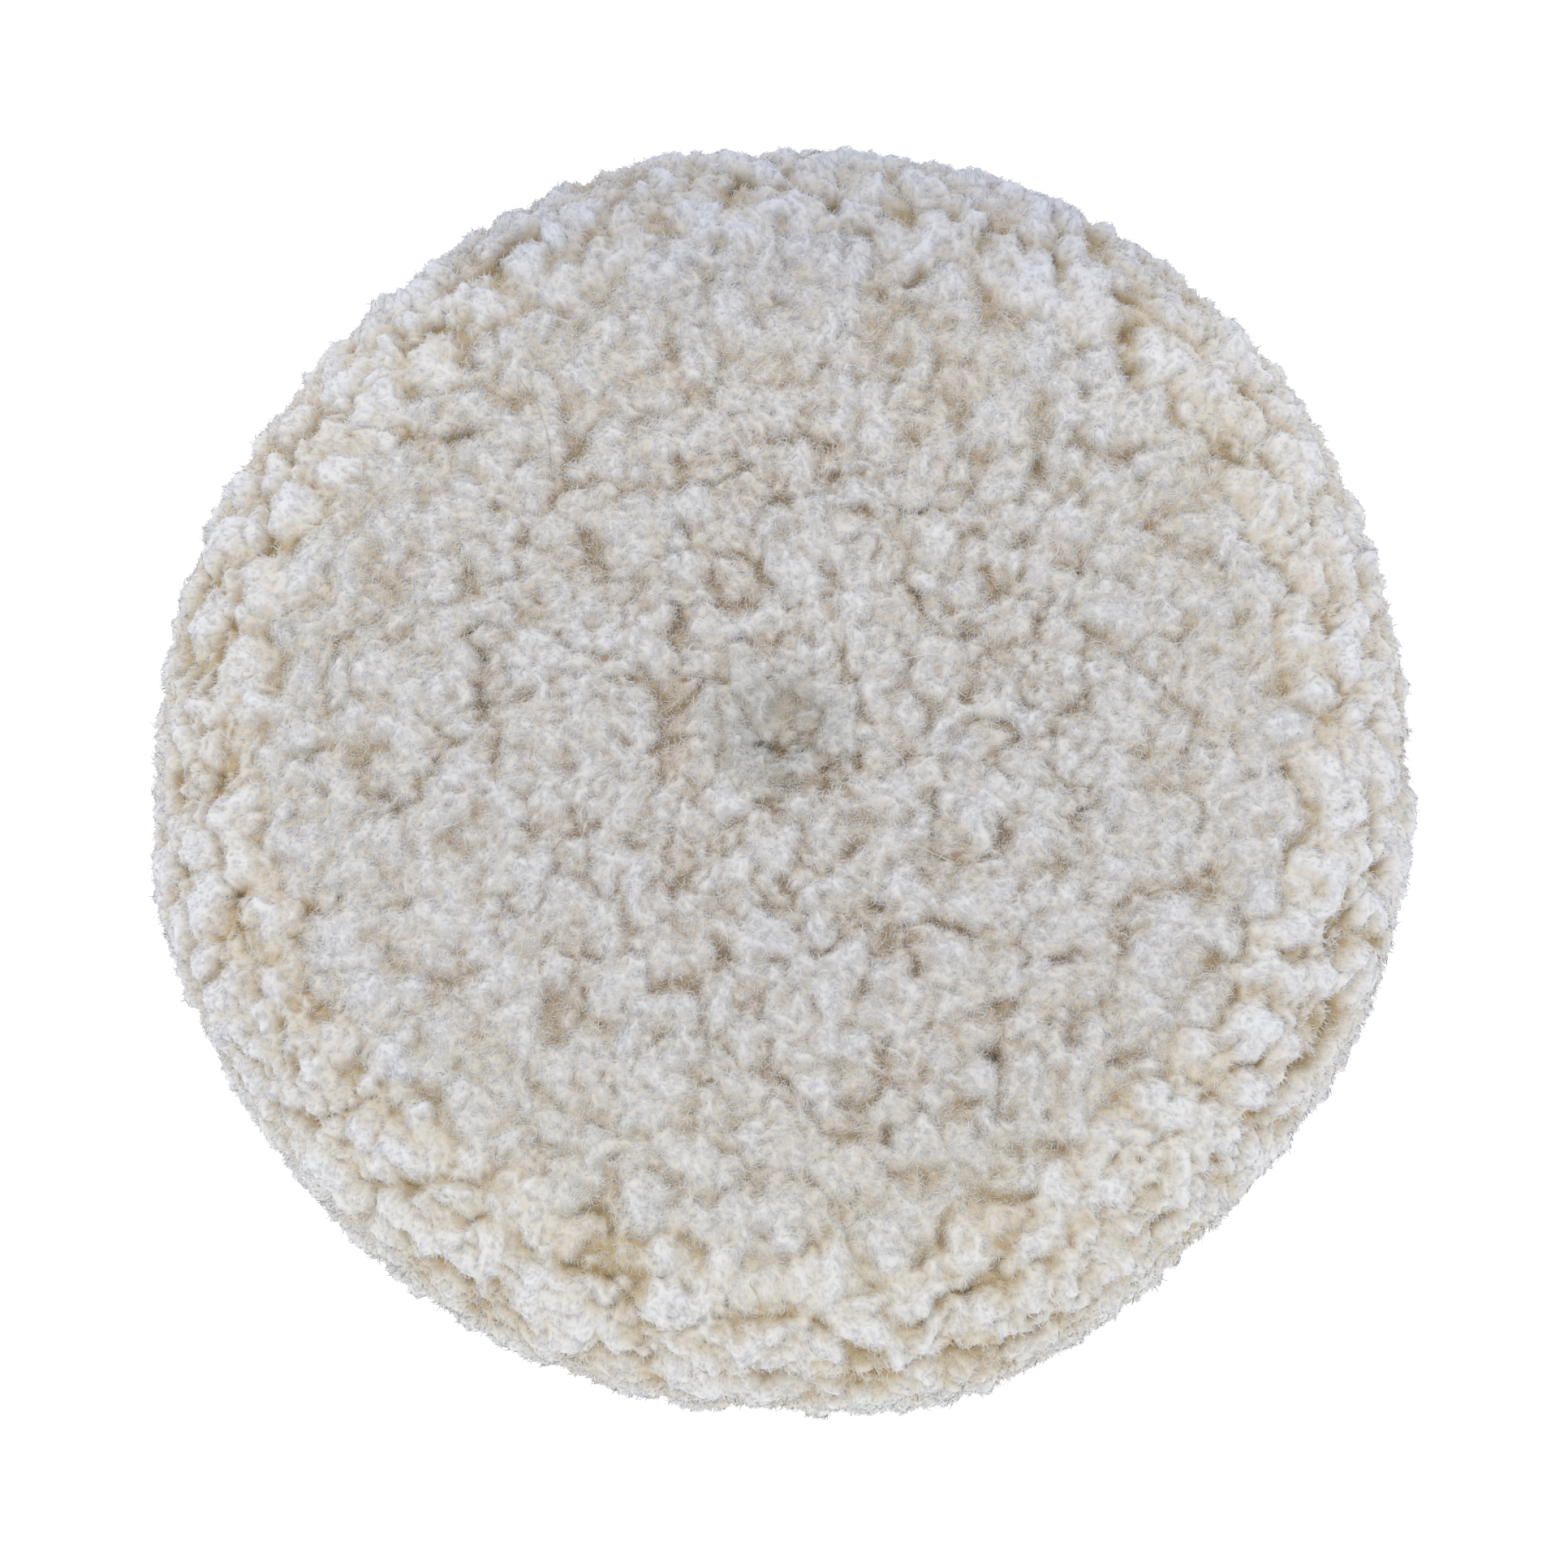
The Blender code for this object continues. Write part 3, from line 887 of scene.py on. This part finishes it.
def make_foam(finish):
    """The foam core. Its cut cells show on the wall of the centring hole."""
    radius, bottom, top = span("foam_cushion")
    corners = [(HOLE_RADIUS, top), (HOLE_RADIUS, bottom), (radius - 1.2, bottom)]
    corners += [(radius, bottom + 1.2), (radius, top - 5), (radius - 5, top)]
    profile = dense(corners, (0.3, 4, 1, 4, 4, 4))
    section = turned(profile, 200)
    near = np.hypot(section[..., 0], section[..., 1]) < HOLE_RADIUS + 0.1
    cell = cells(section.reshape(-1, 3), 0.9, 9)[0]
    pit = (1 - smooth(cell, 0.15, 0.5)).reshape(near.shape) * near
    inward = section * np.array((1, 1, 0)) / HOLE_RADIUS
    section = section + inward * (0.3 * pit)[..., None]
    piece = shell("foam_core", "foam_cushion", section, finish, pit)


def make_latex(finish):
    """The rubber coat. Its rolled-on surface shows at the end of the centring hole."""
    top = span("latex_backcoat")[2]
    centre = (FLAT, CANVAS_TOP - CANVAS_SHOULDER)
    outer = CANVAS_SHOULDER - (CANVAS_TOP - top)
    underside = top - LATEX_THICKNESS
    profile = [(r, underside) for r in np.linspace(0.05, 10, 30)]
    profile += [(r, underside) for r in np.linspace(10, FLAT, 8)[1:-1]]
    profile += bend(centre, outer - LATEX_THICKNESS, 90, 0, 6) + bend(centre, outer, 0, 90, 6)
    profile += [(r, top) for r in np.linspace(FLAT, 0.05, 10)[1:]]
    section = turned(profile, 150)
    flat = section.reshape(-1, 3)
    seen = (np.hypot(flat[:, 0], flat[:, 1]) < 10) & (flat[:, 2] < top - 0.4)
    flat[:, 2] -= seen * 0.22 * (noise(flat, 1.4, 4) + 0.5 * noise(flat, 0.6, 8) - 0.4)
    shell("latex_coat", "latex_backcoat", flat.reshape(section.shape), finish)


# ---------------------------------------------------------------- materials

def nodes_of(name):
    """A new material, its node tree and its shader."""
    made = bpy.data.materials.new(name)
    made.use_nodes = True
    tree = made.node_tree
    return made, tree, tree.nodes["Principled BSDF"]


def node(tree, kind, inputs, **settings):
    """A shader node with its inputs set or linked, by name or number."""
    made = tree.nodes.new("ShaderNode" + kind)
    for key, value in settings.items():
        setattr(made, key, value)
    for key, value in inputs.items():
        if isinstance(value, bpy.types.NodeSocket):
            tree.links.new(value, made.inputs[key])
        else:
            made.inputs[key].default_value = value
    return made


def ramp(tree, factor, stops):
    """A colour ramp through (place, colour) stops."""
    made = node(tree, "ValToRGB", {"Fac": factor})
    elements = made.color_ramp.elements
    for place, colour in stops[1:-1]:
        elements.new(place)
    for element, (place, colour) in zip(elements, stops):
        element.position = place
        element.color = (*colour, 1)
    return made.outputs["Color"]


def tinted(tree, colour, factor, tint):
    """The colour multiplied by a tint where the factor is 1."""
    inputs = {0: factor, 6: colour, 7: (*tint, 1)}
    return node(tree, "Mix", inputs, data_type="RGBA", blend_type="MULTIPLY").outputs[2]


def between(tree, value, low, high):
    """0 to 1 as the value goes from low to high."""
    inputs = {"Value": value, "From Min": low, "From Max": high}
    return node(tree, "MapRange", inputs, interpolation_type="SMOOTHSTEP").outputs["Result"]


def wool_material():
    made, tree, shader = nodes_of("wool")
    place = node(tree, "TexCoord", {}).outputs["Object"]
    depth = node(tree, "Attribute", {}, attribute_name="depth").outputs["Fac"]
    crimp = {"Vector": place, "Scale": 3000, "Detail": 2, "Distortion": 1}
    fuzz = node(tree, "TexNoise", crimp).outputs["Fac"]
    uneven = node(tree, "Math", {0: fuzz, 1: 0.4, 2: -0.2}, operation="MULTIPLY_ADD").outputs[0]
    crevice_shade_and_tone = node(tree, "Math", {0: depth, 1: uneven}, operation="ADD").outputs[0]
    # From white crowns to tan crevices by depth: painted crevice shade and bounce light, partly dirt, with a
    # fine random tone
    face = ramp(tree, crevice_shade_and_tone, (
        (0.05, (0.89, 0.89, 0.925)),
        (0.35, (0.86, 0.84, 0.83)),
        (0.65, (0.775, 0.715, 0.645)),
        (1.0, (0.49, 0.38, 0.26)),
    ))
    # The rim's ramp is lighter and bluer, with brighter golden crevices: painted light on the rim
    edge = ramp(tree, crevice_shade_and_tone, (
        (0.05, (0.915, 0.925, 0.985)),
        (0.35, (0.905, 0.89, 0.89)),
        (0.65, (0.82, 0.76, 0.67)),
        (1.0, (0.61, 0.475, 0.29)),
    ))
    # Greyer round the dimple, the rim's painted light towards the edge, warmer towards -Y, and darker and
    # bluer towards +Y
    drift = node(tree, "TexNoise", {"Vector": place, "Scale": 90, "Detail": 2}).outputs["Color"]
    shift = {0: drift, 1: (0.012, 0.012, 0), 2: (-0.006, -0.006, 0)}
    shifted = node(tree, "VectorMath", shift, operation="MULTIPLY_ADD").outputs[0]
    moved = node(tree, "VectorMath", {0: place, 1: shifted}, operation="ADD").outputs[0]
    flat = node(tree, "VectorMath", {0: moved, 1: (1, 1, 0)}, operation="MULTIPLY").outputs[0]
    reach = node(tree, "VectorMath", {0: flat}, operation="LENGTH").outputs["Value"]
    toward = node(tree, "SeparateXYZ", {"Vector": moved}).outputs["Y"]
    outer = between(tree, reach, 0.030, 0.085)
    # Towards the rim the painted-light ramp takes over from the face's
    colour = node(tree, "Mix", {0: outer, 6: face, 7: edge}, data_type="RGBA").outputs[2]
    # Greyer round the dimple in the middle
    colour = tinted(tree, colour, between(tree, reach, 0.0135, 0.005), (0.83, 0.835, 0.81))
    # Warmer towards -Y; darker and bluer towards +Y
    colour = tinted(tree, colour, between(tree, toward, -0.035, -0.075), (1.0, 0.995, 0.965))
    colour = tinted(tree, colour, between(tree, toward, 0.050, 0.085), (0.825, 0.845, 0.91))
    tree.links.new(colour, shader.inputs["Base Color"])
    shader.inputs["Roughness"].default_value = 0.95
    shader.inputs["Specular IOR Level"].default_value = 0.1
    return made


def shade_range(tree, value, low, high):
    """A colour from low to high as the value goes from 0 to 1."""
    inputs = {0: value, 6: (*low, 1), 7: (*high, 1)}
    return node(tree, "Mix", inputs, data_type="RGBA").outputs[2]


def finish_with(name, slots, colour_of, height_of, bump, roughness):
    """A material with its own colour and height nodes, and a bump of (strength, distance in mm)."""
    made, tree, shader = nodes_of(name)
    place = node(tree, "TexCoord", {}).outputs["Object"]
    tree.links.new(colour_of(tree, place), shader.inputs["Base Color"])
    strength, distance = bump
    relief_inputs = {"Height": height_of(tree, place), "Strength": strength, "Distance": distance * MM}
    raised = node(tree, "Bump", relief_inputs)
    tree.links.new(raised.outputs["Normal"], shader.inputs["Normal"])
    shader.inputs["Roughness"].default_value = roughness
    for key, value in slots.items():
        shader.inputs[key].default_value = value
    return made


def grain(tree, place, scale):
    return node(tree, "TexNoise", {"Vector": place, "Scale": scale, "Detail": 3}).outputs["Fac"]


def graininess(scale):
    """Grain of that scale, as a height for finish_with."""
    return lambda tree, place: grain(tree, place, scale)


def weave(tree, place):
    """A plain weave: bands of warp and weft, one over the other by turns."""
    bands = []
    for direction in ("X", "Y"):
        inputs = {"Vector": place, "Scale": 360, "Distortion": 1.2}
        made = node(tree, "TexWave", inputs, wave_type="BANDS", bands_direction=direction, wave_profile="SIN")
        bands.append(made.outputs["Fac"])
    return node(tree, "Math", {0: bands[0], 1: bands[1]}, operation="MULTIPLY").outputs[0]


def canvas_material():
    def colour(tree, place):
        worn = grain(tree, place, 60)
        base = shade_range(tree, worn, (0.60, 0.53, 0.40), (0.78, 0.72, 0.60))
        # Lighter where the weave stands highest: painted light on the raised threads
        return tinted(tree, base, weave(tree, place), (1.12, 1.1, 1.06))
    return finish_with("canvas", {"Specular IOR Level": 0.2}, colour, weave, (0.9, 0.25), 0.92)


def loop_material():
    def colour(tree, place):
        depth = node(tree, "Attribute", {}, attribute_name="depth").outputs["Fac"]
        return shade_range(tree, depth, (0.70, 0.70, 0.69), (0.88, 0.88, 0.86))
    settings = {"Specular IOR Level": 0.35, "Sheen Weight": 0.3}
    return finish_with("loop_fabric", settings, colour, graininess(1800), (0.3, 0.1), 0.7)


def thread_material():
    def colour(tree, place):
        return shade_range(tree, grain(tree, place, 500), (0.78, 0.77, 0.73), (0.92, 0.91, 0.88))
    settings = {"Specular IOR Level": 0.4}
    return finish_with("stitch_thread", settings, colour, graininess(3000), (0.3, 0.05), 0.55)


def foam_material():
    def pores(tree, place):
        return node(tree, "TexVoronoi", {"Vector": place, "Scale": 1400}, feature="F1").outputs["Distance"]

    def colour(tree, place):
        # Darker down in each pore: painted shade in the pores
        return shade_range(tree, pores(tree, place), (0.07, 0.07, 0.075), (0.30, 0.30, 0.31))
    return finish_with("foam", {"Specular IOR Level": 0.2}, colour, pores, (0.8, 0.3), 0.9)


def latex_material():
    def colour(tree, place):
        return shade_range(tree, grain(tree, place, 220), (0.66, 0.58, 0.42), (0.80, 0.74, 0.60))
    return finish_with("latex", {"Specular IOR Level": 0.5}, colour, graininess(900), (0.4, 0.2), 0.5)


def film_material():
    def colour(tree, place):
        return shade_range(tree, grain(tree, place, 300), (0.62, 0.55, 0.38), (0.78, 0.74, 0.62))
    settings = {"Specular IOR Level": 0.5}
    return finish_with("bond_film", settings, colour, graininess(700), (0.5, 0.2), 0.35)


# ---------------------------------------------------------------- stage

def make_stage():
    bpy.ops.mesh.primitive_plane_add(size=6)
    floor = bpy.context.object
    floor.name = "floor"
    made, tree, shader = nodes_of("floor")
    shader.inputs["Base Color"].default_value = (0.9, 0.9, 0.9, 1)
    shader.inputs["Emission Color"].default_value = (1, 1, 1, 1)
    shader.inputs["Emission Strength"].default_value = 0.5
    shader.inputs["Roughness"].default_value = 0.9
    floor.data.materials.append(made)
    world = bpy.data.worlds.new("studio")
    bpy.context.scene.world = world
    world.use_nodes = True
    background = world.node_tree.nodes["Background"]
    background.inputs["Color"].default_value = (0.97, 0.985, 1.0, 1)
    background.inputs["Strength"].default_value = 0.75
    bpy.context.scene.view_settings.view_transform = "Standard"
    bpy.context.scene.cycles.diffuse_bounces = 8
    bpy.context.scene.cycles.use_denoising = True


def area_light(name, place, size, power):
    light = bpy.data.lights.new(name, "AREA")
    light.shape = "DISK"
    light.size = size
    light.energy = power
    lamp = bpy.data.objects.new(name, light)
    lamp.location = place
    lamp.rotation_euler = (LIGHTS_AIM - Vector(place)).to_track_quat("-Z", "Y").to_euler()
    bpy.context.scene.collection.objects.link(lamp)


LIGHTS_AIM = Vector((0, 0, 0.02))
CAMERA_AIM = Vector((0.00045, -0.00365, 0.0185))
CAMERA_TILT = 15  # degrees from straight above
CAMERA_DISTANCE = 0.55
FRAME_WIDTH = 0.225  # what the frame shows across, at the aim point


def make_camera():
    camera = bpy.data.cameras.new("camera")
    camera.lens = camera.sensor_width * CAMERA_DISTANCE / FRAME_WIDTH
    view = bpy.data.objects.new("camera", camera)
    tilt = math.radians(CAMERA_TILT)
    view.location = CAMERA_AIM + CAMERA_DISTANCE * Vector((0, -math.sin(tilt), math.cos(tilt)))
    view.rotation_euler = (tilt, 0, 0)
    bpy.context.scene.collection.objects.link(view)
    bpy.context.scene.camera = view


make_camera()
make_stage()
area_light("key", (-0.35, 0.25, 1.1), 0.7, 2.2)
area_light("fill", (0.5, -0.6, 0.9), 0.8, 1.0)

wool = wool_material()
for row in range(ROWS):
    make_row(row, wool)
stray_hairs(wool)

make_loop_fabric(loop_material())
thread = thread_material()
make_thread("hem_stitching", HEM_SEAM, thread)
make_thread("hole_stitching", HOLE_SEAM, thread)
make_canvas(canvas_material())
make_foam(foam_material())
make_latex(latex_material())
film = bpy.data.objects["bond_film"]
film.data.materials.clear()
film.data.materials.append(film_material())
